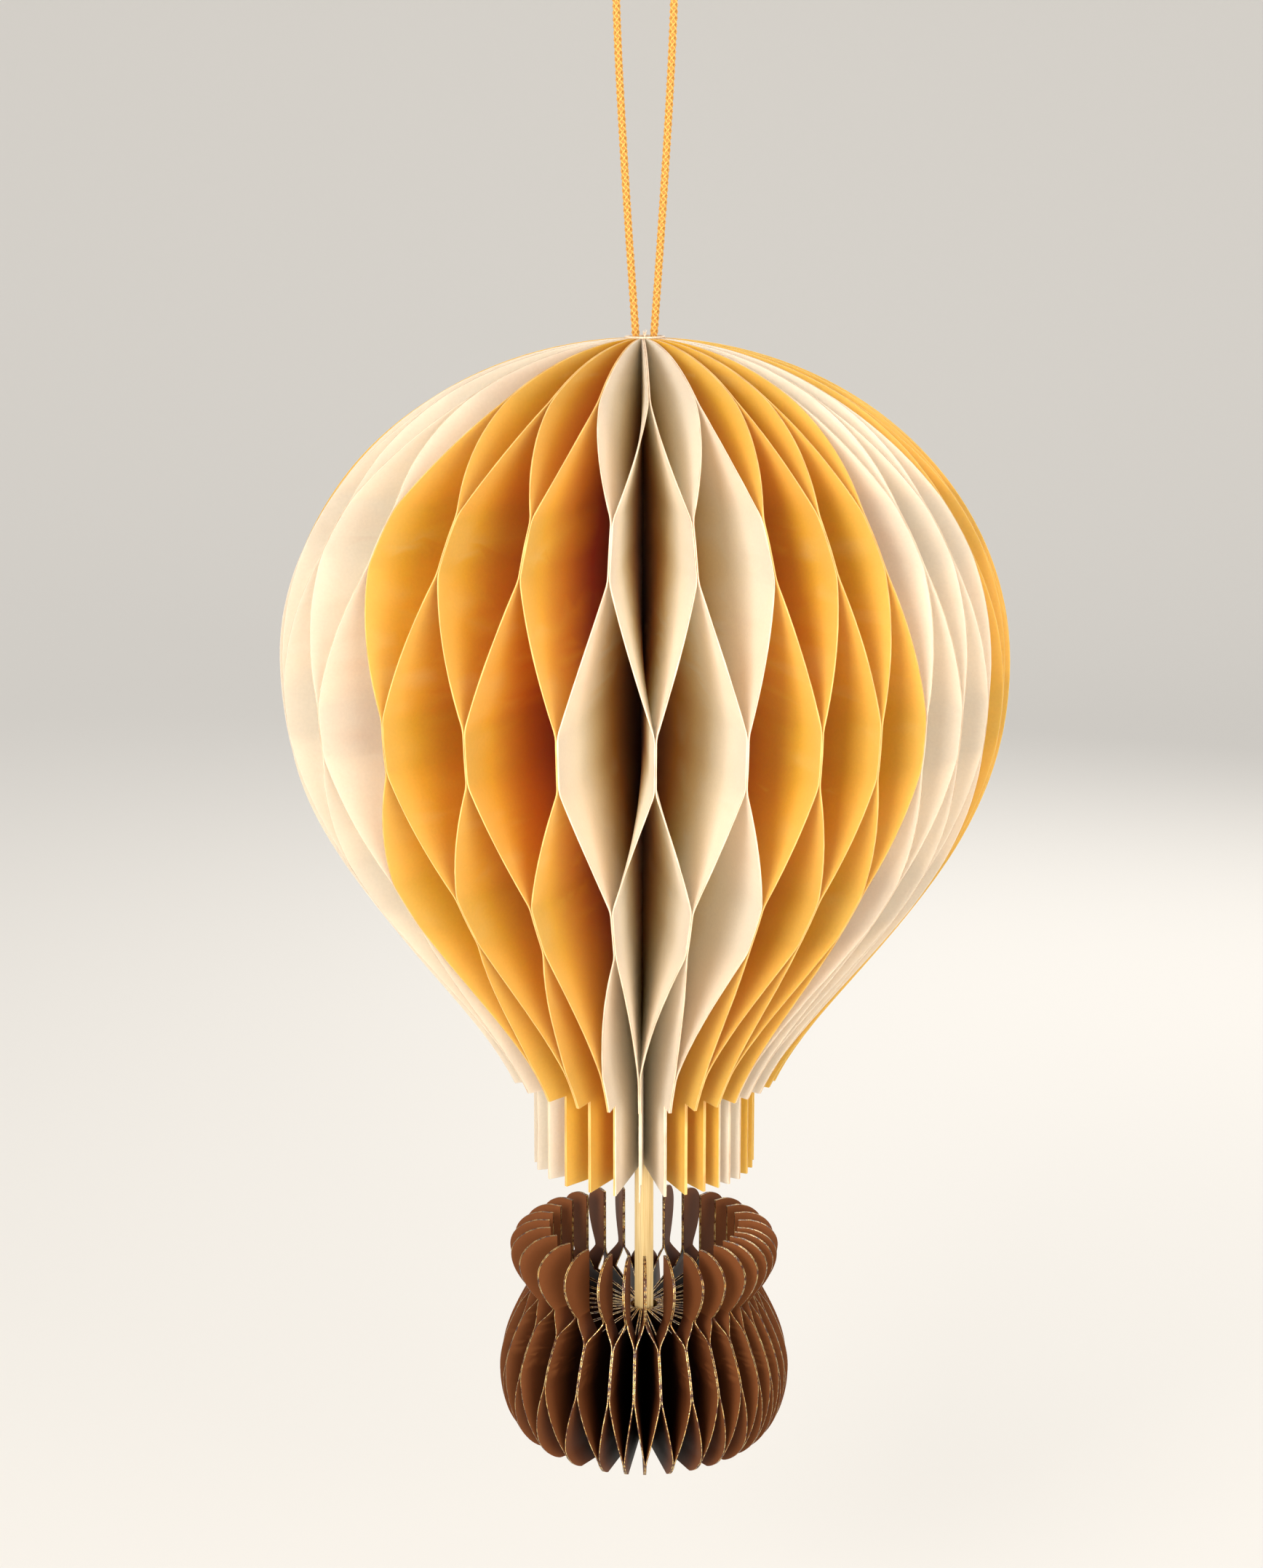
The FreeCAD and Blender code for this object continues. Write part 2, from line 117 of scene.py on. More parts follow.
class Bench:
    """The operators that a maker uses over and over, each with a clean selection."""

    @staticmethod
    def only(piece: bpy.types.Object) -> None:
        """Selects one piece and nothing else.

        Args:
            piece: the piece, which also becomes the active one.
        """
        bpy.ops.object.select_all(action="DESELECT")
        piece.select_set(True)
        bpy.context.view_layer.objects.active = piece

    @staticmethod
    def apply_all(piece: bpy.types.Object) -> None:
        """Applies every modifier of a piece, in order.

        Args:
            piece: the piece that carries them.
        """
        Bench.only(piece)
        for modifier in list(piece.modifiers):
            bpy.ops.object.modifier_apply(modifier=modifier.name)

    @staticmethod
    def settle(piece: bpy.types.Object) -> None:
        """Puts a piece's place into its mesh, so that its object sits at the origin."""
        Bench.only(piece)
        bpy.ops.object.transform_apply(location=True, rotation=True, scale=True)

    @staticmethod
    def smooth(piece: bpy.types.Object, degrees: float) -> None:
        """Shades a piece smooth wherever its faces meet at less than an angle."""
        Bench.only(piece)
        bpy.ops.object.shade_smooth_by_angle(angle=math.radians(degrees))

    @staticmethod
    def hand_over(piece: bpy.types.Object, slot: str, node: str) -> None:
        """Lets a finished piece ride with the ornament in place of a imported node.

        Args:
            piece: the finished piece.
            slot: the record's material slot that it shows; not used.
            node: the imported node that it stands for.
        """
        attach(piece, "root")
        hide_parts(node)


class Recipe:
    """A material's nodes, added and wired one at a time."""

    def __init__(self, name: str) -> None:
        """Starts a material with its output and its main shader."""
        self.material = bpy.data.materials.new(name)
        self.material.use_nodes = True
        self.nodes = self.material.node_tree.nodes
        self.links = self.material.node_tree.links
        self.shader = self.nodes["Principled BSDF"]

    def node(self, kind: str, **settings: object) -> bpy.types.Node:
        """Adds a node and gives it its settings and its socket values.

        Args:
            kind: the node's type.
            settings: node properties, or values of sockets named with underscores for spaces.

        Returns:
            The new node.
        """
        made = self.nodes.new(kind)
        for name, value in settings.items():
            if hasattr(made, name):
                setattr(made, name, value)
            else:
                made.inputs[name.replace("_", " ")].default_value = value
        return made

    def wire(self, source: bpy.types.NodeSocket, target: bpy.types.NodeSocket) -> None:
        """Links two sockets."""
        self.links.new(source, target)

    def place(self) -> bpy.types.NodeSocket:
        """Object coordinates of the shaded point."""
        return self.node("ShaderNodeTexCoord").outputs["Object"]

    def read(self, attribute: str) -> bpy.types.NodeSocket:
        """Value of a mesh attribute at the shaded point."""
        return self.node("ShaderNodeAttribute", attribute_name=attribute).outputs["Fac"]

    def noise(self, at: bpy.types.NodeSocket, scale: float, detail: float = 2.0) -> bpy.types.NodeSocket:
        """Noise from 0 to 1.

        Args:
            at: the coordinates, in metres.
            scale: lumps in a metre.
            detail: how many finer layers it has.

        Returns:
            The noise's socket.
        """
        made = self.node("ShaderNodeTexNoise", Scale=scale, Detail=detail)
        self.wire(at, made.inputs["Vector"])
        return made.outputs["Fac"]

    def ramp(self, value: bpy.types.NodeSocket,
             stops: tuple[tuple[float, Colour], ...]) -> bpy.types.NodeSocket:
        """Colour that runs through stops as a value grows.

        Args:
            value: the value, from 0 to 1.
            stops: places from 0 to 1 with their colours.

        Returns:
            The colour's socket.
        """
        made = self.node("ShaderNodeValToRGB")
        band = made.color_ramp
        while len(band.elements) < len(stops):
            band.elements.new(1.0)
        for element, (place, colour) in zip(band.elements, stops):
            element.position = place
            element.color = (*colour, 1.0)
        self.wire(value, made.inputs["Fac"])
        return made.outputs["Color"]

    def blend(self, share: bpy.types.NodeSocket | float, first: object, second: object,
              how: str = "MIX") -> bpy.types.NodeSocket:
        """Mixes two colours.

        Args:
            share: how much of the second colour, as a socket or a number.
            first: the first colour, as a socket or linear values.
            second: the second colour, as a socket or linear values.
            how: the way of mixing.

        Returns:
            The mixed colour's socket.
        """
        made = self.node("ShaderNodeMix", data_type="RGBA", blend_type=how)
        for name, value in (("Factor", share), ("A", first), ("B", second)):
            kind = "VALUE" if name == "Factor" else "RGBA"
            socket = next(s for s in made.inputs if s.name == name and s.type == kind)
            if isinstance(value, bpy.types.NodeSocket):
                self.wire(value, socket)
            else:
                socket.default_value = value if name == "Factor" else (*value, 1.0)
        return next(s for s in made.outputs if s.type == "RGBA")

    def span(self, value: bpy.types.NodeSocket, low: float, high: float,
             start: float = 0.0, end: float = 1.0) -> bpy.types.NodeSocket:
        """Maps a value's range to another and holds it there.

        Args:
            value: the value.
            low: the value that gives start.
            high: the value that gives end.
            start: the result at low.
            end: the result at high.

        Returns:
            The result's socket.
        """
        made = self.node("ShaderNodeMapRange")
        for name, number in (("From Min", low), ("From Max", high), ("To Min", start), ("To Max", end)):
            made.inputs[name].default_value = number
        self.wire(value, made.inputs["Value"])
        return made.outputs["Result"]

    def maths(self, operation: str, *values: bpy.types.NodeSocket | float) -> bpy.types.NodeSocket:
        """Works out a number from one or two others.

        Args:
            operation: the sum's name.
            values: its numbers, as sockets or plain numbers.

        Returns:
            The result's socket.
        """
        made = self.node("ShaderNodeMath", operation=operation)
        for socket, value in zip(made.inputs, values):
            if isinstance(value, bpy.types.NodeSocket):
                self.wire(value, socket)
            else:
                socket.default_value = value
        return made.outputs["Value"]

    def bump(self, height: bpy.types.NodeSocket, distance: float, strength: float) -> None:
        """Raises the surface by a height map.

        Args:
            height: the map, from 0 to 1.
            distance: the real height of 1, in metres.
            strength: how strongly it shows.
        """
        made = self.node("ShaderNodeBump", Distance=distance, Strength=strength)
        self.wire(height, made.inputs["Height"])
        self.wire(made.outputs["Normal"], self.shader.inputs["Normal"])

    def set(self, **values: object) -> None:
        """Sets uniform values on the main shader's own sockets.

        Args:
            values: values of sockets, named with underscores for spaces.
        """
        for name, value in values.items():
            self.shader.inputs[name.replace("_", " ")].default_value = value


@dataclass(frozen=True)
class DepthShadedPaper:
    """Smooth paper whose colour deepens from a leaf's outer edge towards the spine, as painted shade.

    The deep colours paint the shade inside the cells and the warm light bounced between the leaves.
    The stops run from the edge, at 0, to reach millimetres inside it, at 1. The shares say how much
    darker the darkest leaf, the darkest cloud and the darkest speck of pulp are than plain paper.
    """

    name: str
    stops: tuple[tuple[float, Colour], ...]
    reach: float
    roughness: float = 0.62
    gloss: float = 0.35
    sheen: float = 0.1
    soak: float = 0.8
    soak_depth: float = 0.8 * MM
    leaf_share: float = 0.07
    cloud_share: float = 0.015
    pulp_share: float = 0.05
    clouds: float = 90.0
    pulp: float = 2600.0
    pulp_depth: float = 0.02 * MM

    def material(self) -> bpy.types.Material:
        """The paper's material.

        Returns:
            A material that reads the leaf's inset and tone attributes.
        """
        recipe = Recipe(self.name)
        inset = recipe.span(recipe.read("inset"), 0.0, self.reach)
        at = recipe.place()
        # Painted shade: the colour darkens with the depth inside the leaf's outline, standing in for the
        # shade in the cells and the warm light bounced between the leaves.
        depth_shade = recipe.ramp(inset, self.stops)
        clouds = recipe.noise(at, self.clouds, 3.0)
        pulp = recipe.noise(at, self.pulp, 4.0)
        tone = recipe.span(recipe.read("tone"), 0.0, 1.0, 1.0 - self.leaf_share, 1.0)
        cloud_tone = recipe.span(clouds, *NOISE_SPREAD, 1.0 - self.cloud_share, 1.0)
        pulp_tone = recipe.span(pulp, *NOISE_SPREAD, 1.0 - self.pulp_share, 1.0)
        toned = recipe.blend(1.0, depth_shade, recipe.maths("MULTIPLY", tone, cloud_tone), "MULTIPLY")
        mottled = recipe.blend(1.0, toned, pulp_tone, "MULTIPLY")
        rough = recipe.span(clouds, *NOISE_SPREAD, self.roughness - 0.05, self.roughness + 0.05)
        recipe.wire(mottled, recipe.shader.inputs["Base Color"])
        recipe.wire(rough, recipe.shader.inputs["Roughness"])
        recipe.bump(pulp, self.pulp_depth, 0.35)
        recipe.set(Specular_IOR_Level=self.gloss, Sheen_Weight=self.sheen, Sheen_Roughness=0.5)
        recipe.set(Subsurface_Weight=self.soak, Subsurface_Scale=self.soak_depth,
                   Subsurface_Radius=(1.0, 1.0, 1.0))
        return recipe.material


@dataclass(frozen=True)
class CutEdgeFinish:
    """The narrow cut edge of a leaf: bare paper in the middle, scorched along both its arrises.

    The margin says where the scorch starts and where it is full, as shares of the way from the
    middle of the sheet to its face.
    """

    name: str
    core: Colour
    scorch: Colour
    margin: tuple[float, float] = (0.25, 0.85)
    patches: float = 260.0
    fibres: float = 5000.0
    fibre_depth: float = 0.03 * MM

    def material(self) -> bpy.types.Material:
        """The cut edge's material.

        Returns:
            A material that reads the leaf's side attribute.
        """
        recipe = Recipe(self.name)
        at = recipe.place()
        off_middle = recipe.span(recipe.maths("ABSOLUTE", recipe.read("side")), *self.margin)
        uneven = recipe.span(recipe.noise(at, self.patches, 3.0), 0.35, 0.65, 0.25, 1.0)
        burnt = recipe.maths("MULTIPLY", off_middle, uneven)
        recipe.wire(recipe.blend(burnt, self.core, self.scorch), recipe.shader.inputs["Base Color"])
        recipe.bump(recipe.noise(at, self.fibres), self.fibre_depth, 0.5)
        recipe.set(Roughness=0.75, Specular_IOR_Level=0.3)
        return recipe.material


@dataclass(frozen=True)
class GiltFinish:
    """Gold glitter glued along a cut edge, in grains with brown paper between them.

    The glitter thins towards the faces of the sheet, over margin and by up to thinning. A place is
    bare below the first number of cover and full above the second.
    """

    name: str
    bright: Colour
    dull: Colour
    bare: Colour
    grains: float = 3600.0
    grain_depth: float = 0.08 * MM
    gaps: float = 1500.0
    margin: tuple[float, float] = (0.1, 0.7)
    thinning: float = 0.4
    cover: tuple[float, float] = (0.38, 0.44)

    def material(self) -> bpy.types.Material:
        """The glitter's material.

        Returns:
            A material that reads the leaf's side attribute.
        """
        recipe = Recipe(self.name)
        at = recipe.place()
        grains = recipe.node("ShaderNodeTexVoronoi", Scale=self.grains)
        recipe.wire(at, grains.inputs["Vector"])
        grain_tone = recipe.node("ShaderNodeSeparateColor")
        recipe.wire(grains.outputs["Color"], grain_tone.inputs["Color"])
        gold = recipe.blend(recipe.span(grain_tone.outputs["Red"], 0.15, 0.7), self.dull, self.bright)
        off_middle = recipe.maths("ABSOLUTE", recipe.read("side"))
        thinned = recipe.span(off_middle, *self.margin, 0.0, self.thinning)
        rows = recipe.maths("SUBTRACT", recipe.noise(at, self.gaps, 2.0), thinned)
        cover = recipe.span(rows, *self.cover)
        rough = recipe.span(grain_tone.outputs["Green"], 0.0, 1.0, 0.22, 0.5)
        recipe.wire(recipe.blend(cover, self.bare, gold), recipe.shader.inputs["Base Color"])
        recipe.wire(recipe.span(cover, 0.0, 1.0, 0.0, 0.5), recipe.shader.inputs["Metallic"])
        recipe.wire(rough, recipe.shader.inputs["Roughness"])
        recipe.bump(grains.outputs["Distance"], self.grain_depth, 0.8)
        return recipe.material


@dataclass(frozen=True)
class WoodFinish:
    """Pale planed softwood with fine grain, drawn out along the stick by stretch."""

    name: str
    pale: Colour
    dark: Colour
    stretch: float = 0.03
    grain: float = 3800.0
    bands: float = 900.0
    grain_depth: float = 0.03 * MM

    def material(self) -> bpy.types.Material:
        """The wood's material.

        Returns:
            A material with grain along the upright.
        """
        recipe = Recipe(self.name)
        mapping = recipe.node("ShaderNodeMapping")
        mapping.inputs["Scale"].default_value = (1.0, 1.0, self.stretch)
        recipe.wire(recipe.place(), mapping.inputs["Vector"])
        grain = recipe.noise(mapping.outputs["Vector"], self.grain, 5.0)
        bands = recipe.noise(mapping.outputs["Vector"], self.bands, 2.0)
        tinted = recipe.blend(recipe.span(grain, 0.35, 0.7), self.pale, self.dark)
        warm = recipe.blend(recipe.span(bands, 0.4, 0.7, 0.0, 0.6), tinted, self.dark)
        recipe.wire(warm, recipe.shader.inputs["Base Color"])
        recipe.bump(grain, self.grain_depth, 0.4)
        recipe.set(Roughness=0.6, Specular_IOR_Level=0.35)
        return recipe.material


@dataclass(frozen=True)
class YarnFinish:
    """Twisted yarn with a soft sheen, with painted shade in the grooves between its strands.

    The rise says between which shares of the cord's radius the painted groove shade gives way to the
    yarn.
    """

    name: str
    light: Colour
    dark: Colour
    groove_shade: Colour
    sheen: float = 0.2
    rise: tuple[float, float] = (0.68, 0.94)
    fibres: float = 4200.0
    fibre_depth: float = 0.04 * MM

    def material(self) -> bpy.types.Material:
        """The yarn's material.

        Returns:
            A material that reads the cord's raised attribute.
        """
        recipe = Recipe(self.name)
        at = recipe.place()
        fibres = recipe.noise(at, self.fibres, 3.0)
        spun = recipe.blend(recipe.span(fibres, *NOISE_SPREAD), self.light, self.dark)
        # Painted shade: points sunk towards the cord's middle take the groove's darker colour.
        raised = recipe.span(recipe.read("raised"), *self.rise)
        recipe.wire(recipe.blend(raised, self.groove_shade, spun), recipe.shader.inputs["Base Color"])
        recipe.bump(fibres, self.fibre_depth, 0.6)
        recipe.set(Roughness=0.55, Specular_IOR_Level=0.45)
        recipe.set(Sheen_Weight=self.sheen, Sheen_Roughness=0.4)
        return recipe.material


# How far inside the outline, in millimetres, the painted shade of the envelope's and the basket's papers
# is darkest
LEAF_SHADE_REACH = 46.0
BASKET_SHADE_REACH = 16.0

# Cream paper with painted light and shade: a little darker right at the edge, where the lamps fall
# hardest, palest a little way in, then deepening through amber to brown towards the spine as painted
# shade and painted bounced light.
CREAM = DepthShadedPaper("cream_paper", (
    (0.0, paint(247, 224, 199)),
    (0.10, paint(250, 232, 207)),
    (0.30, paint(255, 240, 210)),
    (0.48, paint(255, 224, 168)),
    (0.66, paint(250, 186, 94)),
    (1.0, paint(150, 74, 12))), reach=LEAF_SHADE_REACH)
# Gold paper that deepens through orange to dark red towards the spine, as painted shade and painted warm
# bounce light in the cells.
GOLD = DepthShadedPaper("gold_paper", (
    (0.0, paint(240, 184, 86)),
    (0.12, paint(238, 172, 42)),
    (0.32, paint(228, 140, 3)),
    (0.56, paint(176, 52, 0)),
    (1.0, paint(96, 8, 0))), reach=LEAF_SHADE_REACH)
# Brown paper, lightest on the lobes and near black deep in the cells, as painted shade.
BROWN = DepthShadedPaper("brown_paper", (
    (0.0, paint(122, 72, 40)),
    (0.12, paint(86, 45, 22)),
    (0.32, paint(36, 16, 7)),
    (1.0, paint(20, 8, 3))), reach=BASKET_SHADE_REACH, roughness=0.5, gloss=0.12, sheen=0.0, soak=0.0)
CREAM_EDGE = CutEdgeFinish("cream_cut_edge", paint(248, 224, 194), paint(158, 106, 62))
GOLD_EDGE = CutEdgeFinish("gold_cut_edge", paint(246, 200, 122), paint(160, 88, 28))
GILT = GiltFinish("gilt_glitter", paint(255, 232, 160), paint(250, 190, 96), paint(70, 34, 16))
WOOD = WoodFinish("stick_wood", paint(232, 208, 154), paint(196, 160, 98))
# Each yarn's third colour is the painted shade in its grooves.
GOLD_YARN = YarnFinish("gold_cord", paint(240, 190, 98), paint(216, 154, 58), paint(164, 100, 30))
WHITE_THREAD = YarnFinish("white_thread", paint(242, 228, 208), paint(210, 184, 150),
                          paint(170, 130, 90))


@dataclass
class Outline:
    """How far from the axis the leaves of a fan reach at each height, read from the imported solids.

    Points nearer to the axis than inner, or above top, aren't part of it.
    """

    nodes: list[str]
    inner: float
    top: float = 0.0
    step: float = 0.25 * MM
    heights: np.ndarray = field(default_factory=lambda: np.zeros(0))
    radii: np.ndarray = field(default_factory=lambda: np.zeros(0))

    def measure(self, frame: dict) -> "Outline":
        """Reads the outline from the vertices that lie well away from the axis.

        Args:
            frame: the loaded frame.

        Returns:
            This outline, with its heights and radii.
        """
        found = [points_of(frame["nodes"][name].data) for name in self.nodes]
        points = np.vstack(found)
        radius = np.hypot(points[:, 0], points[:, 1])
        keep = (radius > self.inner) & (points[:, 2] < self.top)
        row = np.floor(points[keep, 2] / self.step).astype(int)
        first = row.min()
        widest = np.zeros(row.max() - first + 1)
        np.maximum.at(widest, row - first, radius[keep])
        filled = np.nonzero(widest)[0]
        self.heights = (filled + first + 0.5) * self.step
        self.radii = widest[filled]
        return self

    def inset(self, points: np.ndarray) -> np.ndarray:
        """How far inside the outline points lie.

        Args:
            points: rows of x, y and z.

        Returns:
            A distance in millimetres for each, and 0 above the outline's top.
        """
        radius = np.hypot(points[:, 0], points[:, 1])
        depth = np.interp(points[:, 2], self.heights, self.radii) - radius
        return np.where(points[:, 2] < self.top, np.maximum(depth, 0.0) / MM, 0.0)


def rows_of(items: bpy.types.bpy_prop_collection, key: str) -> np.ndarray:
    """A vector of each item of a mesh.

    Args:
        items: the mesh's vertices, faces or normals.
        key: the vector's name.

    Returns:
        Rows of x, y and z.
    """
    flat = np.zeros(len(items) * 3, np.float32)
    items.foreach_get(key, flat)
    return flat.reshape(-1, 3)


def points_of(mesh: bpy.types.Mesh) -> np.ndarray:
    """A mesh's vertices as rows of x, y and z."""
    return rows_of(mesh.vertices, "co").astype(float)


def write_values(mesh: bpy.types.Mesh, name: str, values: np.ndarray) -> None:
    """Writes a number for each vertex as an attribute of the mesh.

    Args:
        mesh: the mesh.
        name: the attribute's name.
        values: the numbers.
    """
    attribute = mesh.attributes.new(name, "FLOAT", "POINT")
    attribute.data.foreach_set("value", values.astype(np.float32))


@dataclass
class LeafGroup:
    """Five leaves of one paper that stand side by side, with their cut edges apart.

    A leaf's broad faces look round the axis. A face whose normal does so by less than the share
    broad lies on a cut edge.
    """

    node: str
    paper: Paper
    outline: Outline
    weld: float = 0.002 * MM
    crease: float = 35.0
    broad: float = 0.5

    def build(self, frame: dict) -> bpy.types.Object:
        """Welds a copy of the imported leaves, marks each leaf's tone and each point's inset.

        Args:
            frame: the loaded frame.

        Returns:
            The paper leaves as one piece.
        """
        mesh = frame["nodes"][self.node].data.copy()
        piece = bpy.data.objects.new(f"{self.node}_paper", mesh)
        bpy.context.scene.collection.objects.link(piece)
        mesh.materials.clear()
        Bench.only(piece)
        bpy.ops.object.mode_set(mode="EDIT")
        bpy.ops.mesh.select_all(action="SELECT")
        bpy.ops.mesh.remove_doubles(threshold=self.weld)
        bpy.ops.object.mode_set(mode="OBJECT")
        bpy.ops.mesh.customdata_custom_splitnormals_clear()
        self.mark(mesh)
        Bench.smooth(piece, self.crease)
        weighting = piece.modifiers.new("even_shading", "WEIGHTED_NORMAL")
        weighting.keep_sharp = True
        Bench.apply_all(piece)
        return piece

    def mark(self, mesh: bpy.types.Mesh) -> None:
        """Writes each point's inset and side and each leaf's tone as attributes of the mesh.

        Args:
            mesh: the welded leaves.
        """
        points = points_of(mesh)
        normals = rows_of(mesh.vertex_normals, "vector")
        facing = points[:, 0] * normals[:, 1] - points[:, 1] * normals[:, 0]
        write_values(mesh, "inset", self.outline.inset(points))
        write_values(mesh, "tone", self.tones(mesh))
        write_values(mesh, "side", np.sign(facing))

    def tones(self, mesh: bpy.types.Mesh) -> np.ndarray:
        """Draws a tone for each leaf.

        Args:
            mesh: the welded leaves.

        Returns:
            A tone from 0 to 1 for each vertex, the same all over one leaf.
        """
        shape = bmesh.new()
        shape.from_mesh(mesh)
        shape.verts.ensure_lookup_table()
        values = np.full(len(shape.verts), -1.0)
        draw = np.random.default_rng(sum(map(ord, self.node)))
        for start in shape.verts:
            if values[start.index] >= 0:
                continue
            tone = draw.random()
            queue = [start]
            values[start.index] = tone
            while queue:
                for edge in queue.pop().link_edges:
                    for vertex in edge.verts:
                        if values[vertex.index] < 0:
                            values[vertex.index] = tone
                            queue.append(vertex)
        shape.free()
        return values

    def dress(self, piece: bpy.types.Object, paper: bpy.types.Material,
              edge: bpy.types.Material) -> None:
        """Gives the broad faces their paper and the narrow ones the finish of the cut.

        Args:
            piece: the leaves that build made.
            paper: the paper's material.
            edge: the cut edge's material.
        """
        mesh = piece.data
        mesh.materials.append(paper)
        mesh.materials.append(edge)
        normals = rows_of(mesh.polygons, "normal")
        centres = rows_of(mesh.polygons, "center")
        radius = np.hypot(centres[:, 0], centres[:, 1])
        round_about = (centres[:, 0] * normals[:, 1] - centres[:, 1] * normals[:, 0]) / radius
        cut = (np.abs(round_about) < self.broad).astype(np.int32)
        mesh.polygons.foreach_set("material_index", cut)
        mesh.update()
        Bench.hand_over(piece, self.paper.value, self.node)


@dataclass
class Fans:
    """The envelope's two papers and the basket's leaves, as groups around the stick.

    The outlines are read outside the radius spine in the envelope and well in the basket.
    """

    spine: float = 12.0 * MM
    well: float = 14.0 * MM

    def build(self, frame: dict) -> list[tuple[LeafGroup, bpy.types.Object]]:
        """Builds every group of leaves.

        Args:
            frame: the loaded frame.

        Returns:
            Each group with its piece.
        """
        gores = sorted(n for n in frame["nodes"] if "_gore_" in n)
        basket = sorted(n for n in frame["nodes"] if n.startswith("basket_leaves"))
        envelope_outline = Outline(gores, self.spine).measure(frame)
        basket_outline = Outline(basket, self.well, top=NECK).measure(frame)
        groups = []
        for node in gores:
            paper = Paper.CREAM if node.startswith("cream") else Paper.GOLD
            groups.append(LeafGroup(node, paper, envelope_outline))
        groups += [LeafGroup(node, Paper.BROWN, basket_outline) for node in basket]
        return [(group, group.build(frame)) for group in groups]

    def dress(self, groups: list[tuple[LeafGroup, bpy.types.Object]]) -> None:
        """Mixes each paper and each edge once and dresses every group.

        Args:
            groups: each group with its piece.
        """
        papers = {Paper.CREAM: CREAM, Paper.GOLD: GOLD, Paper.BROWN: BROWN}
        edges = {Paper.CREAM: CREAM_EDGE, Paper.GOLD: GOLD_EDGE, Paper.BROWN: GILT}
        mixed_papers = {paper: finish.material() for paper, finish in papers.items()}
        mixed_edges = {paper: finish.material() for paper, finish in edges.items()}
        for group, piece in groups:
            group.dress(piece, mixed_papers[group.paper], mixed_edges[group.paper])


@dataclass
class Stick:
    """The square wooden stick that the envelope and the basket are threaded on."""

    side: float = 2.0 * MM
    turn: float = 34.0
    top: float = POLE - 7.0 * MM
    foot: float = POLE - 152.0 * MM
    rounding: float = 0.12 * MM
    crease: float = 40.0

    def build(self) -> bpy.types.Object:
        """Models the stick from a box with rounded arrises.

        Returns:
            The stick.
        """
        height = self.top - self.foot
        bpy.ops.object.select_all(action="DESELECT")
        bpy.ops.mesh.primitive_cube_add(size=1.0, location=(0, 0, self.foot + height / 2))
        piece = bpy.context.active_object
        piece.name = "centre_stick_wood"
        piece.scale = (self.side, self.side, height)
        piece.rotation_euler = (0, 0, math.radians(self.turn))
        Bench.settle(piece)
        bevel = piece.modifiers.new("arris", "BEVEL")
        bevel.width = self.rounding
        bevel.segments = 3
        Bench.apply_all(piece)
        Bench.smooth(piece, self.crease)
        return piece

    def dress(self, piece: bpy.types.Object) -> None:
        """Gives the stick its wood.

        Args:
            piece: the stick.
        """
        piece.data.materials.append(WOOD.material())
        Bench.hand_over(piece, "stick_wood", "centre_stick")


